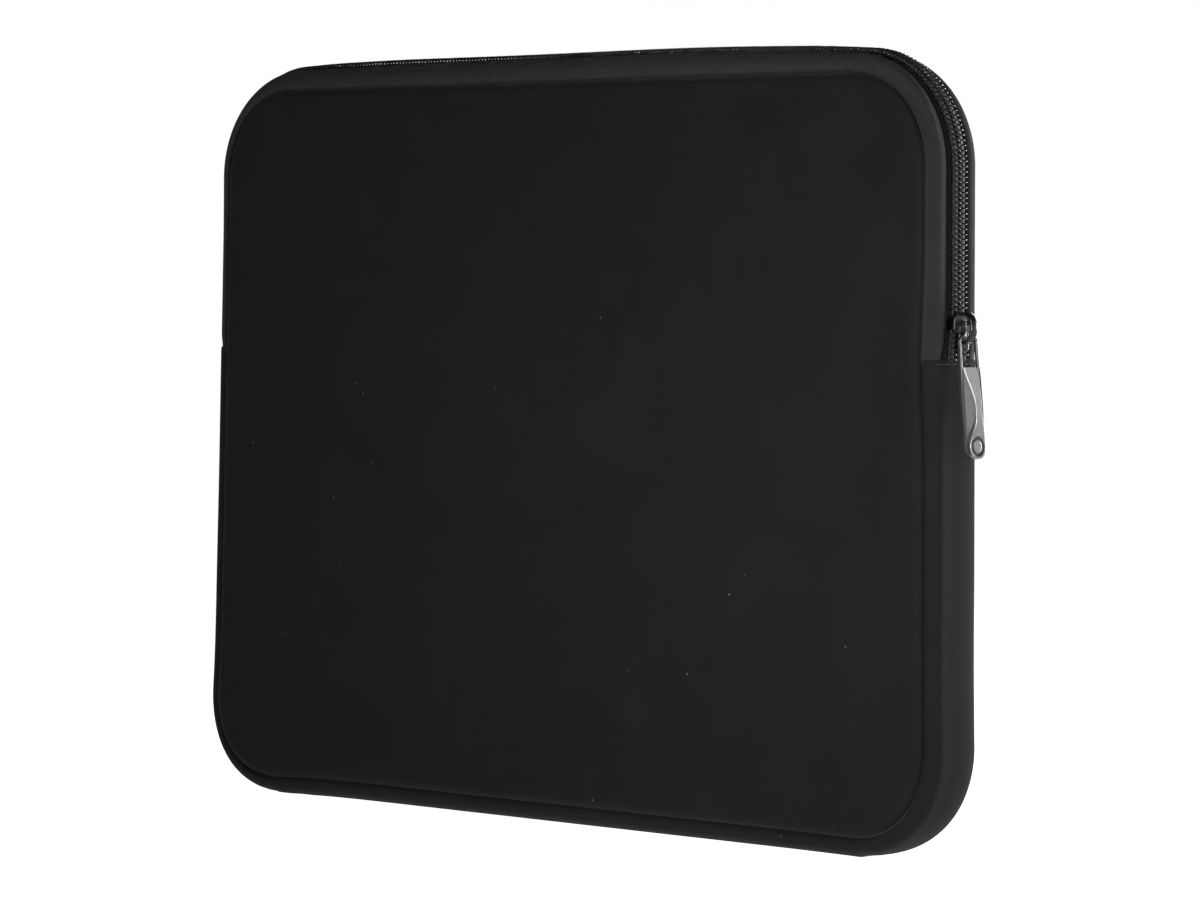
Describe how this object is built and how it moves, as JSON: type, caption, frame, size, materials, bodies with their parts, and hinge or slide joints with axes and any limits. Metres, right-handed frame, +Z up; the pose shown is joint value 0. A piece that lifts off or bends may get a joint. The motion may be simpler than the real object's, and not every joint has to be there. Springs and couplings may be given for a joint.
{
  "type": "laptop sleeve",
  "caption": "Slim padded neoprene laptop sleeve with a coil zipper round its top and upper sides, a metal slider and a hanging puller.",
  "frame": {"origin": "centre of the flat base that the sleeve stands on", "axes": "+X along the width towards the parked slider, front panel facing -Y, +Z up to the zipped top"},
  "size_m": [0.3677, 0.029, 0.2699],
  "materials": {
    "neoprene": "matte black knitted jersey over foam rubber",
    "lining": "soft brushed knit",
    "binding": "ribbed seam tape",
    "thread": "polyester sewing thread",
    "zipper_tape": "woven herringbone polyester tape",
    "zipper_coil": "glossy black nylon",
    "slider_metal": "polished dark gunmetal plating",
    "pawl_steel": "plain spring steel",
    "puller_metal": "satin gunmetal plating"
  },
  "bodies": {
    "root": {"back_panel": "neoprene", "back_lining": "lining", "back_seam_binding": "binding", "back_seam_thread": "thread", "front_panel_lower": "neoprene", "front_lining_lower": "lining", "front_seam_binding_lower": "binding", "front_seam_thread_lower": "thread", "lower_gusset": "neoprene", "lower_gusset_lining": "lining", "gusset_join_thread": "thread", "zipper_tape_back": "zipper_tape", "coil_back": "zipper_coil", "coil_stitch_back": "thread", "zipper_tape_front_ends": "zipper_tape", "coil_front_ends": "zipper_coil", "coil_stitch_front_ends": "thread"},
    "front_flap": {"front_panel_upper": "neoprene", "front_lining_upper": "lining", "front_seam_binding_upper": "binding", "front_seam_thread_upper": "thread", "zipper_tape_front": "zipper_tape", "coil_front": "zipper_coil", "coil_stitch_front": "thread"},
    "slider": {"slider_body": "slider_metal", "slider_crown": "slider_metal", "slider_lock_pawl": "pawl_steel"},
    "puller": {"puller_tab": "puller_metal"}
  },
  "joints": [
    {"name": "mouth_fold", "type": "hinge", "parent": "root", "child": "front_flap", "pos_m": [0, -0.0145, 0.1895], "axis": [1, 0, 0], "range_deg": [0, 30], "stiffness_Nm_per_rad": 0.1},
    {"name": "slider_travel", "type": "slide", "parent": "root", "child": "slider", "axis": [0, 0, 1], "range_m": [-0.002, 0.045]},
    {"name": "puller_swing", "type": "hinge", "parent": "slider", "child": "puller", "pos_m": [0.1835, 0, 0.1795], "axis": [0, -1, 0], "range_deg": [0, 150]}
  ]
}
